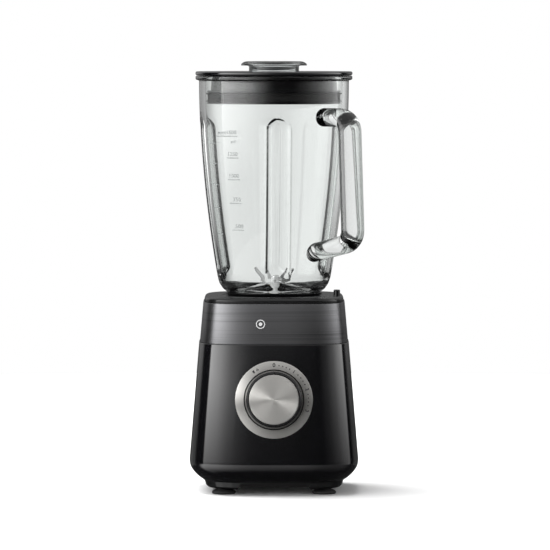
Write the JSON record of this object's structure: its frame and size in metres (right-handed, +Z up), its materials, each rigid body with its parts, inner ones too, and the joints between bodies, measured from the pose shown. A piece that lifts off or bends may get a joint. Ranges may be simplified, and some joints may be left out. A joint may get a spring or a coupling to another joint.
{
  "type": "countertop blender",
  "caption": "Countertop blender with a tapered motor base, a rotary speed knob, a fluted glass jug with a glass handle, a blade unit, a lid and a measuring cup.",
  "frame": {"origin": "on the worktop, on the motor and jug axis", "axes": "+Z up along the motor axis, the knob side faces -Y, +X to the right seen from the front"},
  "size_m": [0.17, 0.1926, 0.42],
  "materials": {
    "gloss_black": "high gloss",
    "satin_black": "satin",
    "rubber": "matte",
    "dark_brushed_steel": "horizontal brush, dark tint",
    "brushed_aluminium": "brushed",
    "steel": "polished",
    "glass": "clear pressed glass",
    "clear_plastic": "clear, lightly smoked",
    "copper": "enamelled copper wire",
    "lamination": "rolled sheet",
    "brass": "machined",
    "carbon": "sintered",
    "circuit_board": "solder mask",
    "nylon": "moulded"
  },
  "bodies": {
    "base": {"bottom_plate": "satin_black", "foot_front_left": "rubber", "foot_front_right": "rubber", "foot_rear_left": "rubber", "foot_rear_right": "rubber", "base_screw_front_left": "steel", "base_screw_front_right": "steel", "base_screw_rear_left": "steel", "base_screw_rear_right": "steel", "housing": "gloss_black", "metal_band": "dark_brushed_steel", "top_deck": "satin_black", "cord_gland": "rubber", "dial_ring": "brushed_aluminium", "dial_seat": "satin_black", "speed_switch": "nylon", "control_board": "circuit_board", "interlock_spring": "steel", "interlock_switch": "satin_black", "stator_core": "lamination", "field_coil_front": "copper", "field_coil_rear": "copper", "upper_frame": "lamination", "lower_frame": "lamination", "upper_bearing": "steel", "lower_bearing": "steel", "motor_mount_front_left": "rubber", "motor_mount_front_right": "rubber", "motor_mount_rear_left": "rubber", "motor_mount_rear_right": "rubber", "carbon_brush_left": "carbon", "carbon_brush_right": "carbon", "brush_holder_left": "brass", "brush_holder_right": "brass"},
    "knob": {"knob_body": "gloss_black", "knob_cap": "brushed_aluminium", "knob_shaft": "steel"},
    "rotor": {"rotor_core": "lamination", "rotor_winding_top": "copper", "rotor_winding_bottom": "copper", "commutator": "brass", "motor_shaft": "steel", "cooling_fan": "satin_black", "drive_coupling": "satin_black"},
    "pin": {"interlock_pin": "gloss_black"},
    "blade_unit": {"blade_holder": "satin_black", "jug_gasket": "rubber", "blade_bushing": "brass"},
    "blades": {"upper_blade": "steel", "middle_blade": "steel", "lower_blade": "steel", "blade_nut": "steel", "blade_shaft": "steel", "driven_coupling": "satin_black"},
    "jug": {"glass_jug": "glass", "jug_handle": "glass"},
    "lid": {"lid": "gloss_black", "lid_seal": "rubber"},
    "cup": {"measuring_cup": "clear_plastic"}
  },
  "joints": [
    {"name": "motor_spin", "type": "hinge", "parent": "base", "child": "rotor", "pos_m": [0, 0, 0.1], "axis": [0, 0, 1], "continuous": true},
    {"name": "knob_turn", "type": "hinge", "parent": "base", "child": "knob", "pos_m": [0, -0.07756, 0.0936], "axis": [0, -0.9966, 0.0821], "range_deg": [-108, 33]},
    {"name": "interlock_press", "type": "slide", "parent": "base", "child": "pin", "axis": [0, 0, -1], "range_m": [0, 0.004], "stiffness_N_per_m": 200, "springref_m": -0.003, "deforming": ["interlock_spring"]},
    {"name": "jug_lift", "type": "slide", "parent": "base", "child": "blade_unit", "axis": [0, 0, 1], "range_m": [0, 0.06]},
    {"name": "blade_spin", "type": "hinge", "parent": "blade_unit", "child": "blades", "pos_m": [0, 0, 0.19], "axis": [0, 0, 1], "continuous": true},
    {"name": "jug_turn", "type": "hinge", "parent": "blade_unit", "child": "jug", "pos_m": [0, 0, 0.19], "axis": [0, 0, 1], "range_deg": [0, 60]},
    {"name": "lid_lift", "type": "slide", "parent": "jug", "child": "lid", "axis": [0, 0, 1], "range_m": [0, 0.05]},
    {"name": "cup_lift", "type": "slide", "parent": "lid", "child": "cup", "axis": [0, 0, 1], "range_m": [0, 0.05]}
  ],
  "couplings": [
    {"joint": "blade_spin", "follows": "motor_spin", "ratio": 1}
  ]
}
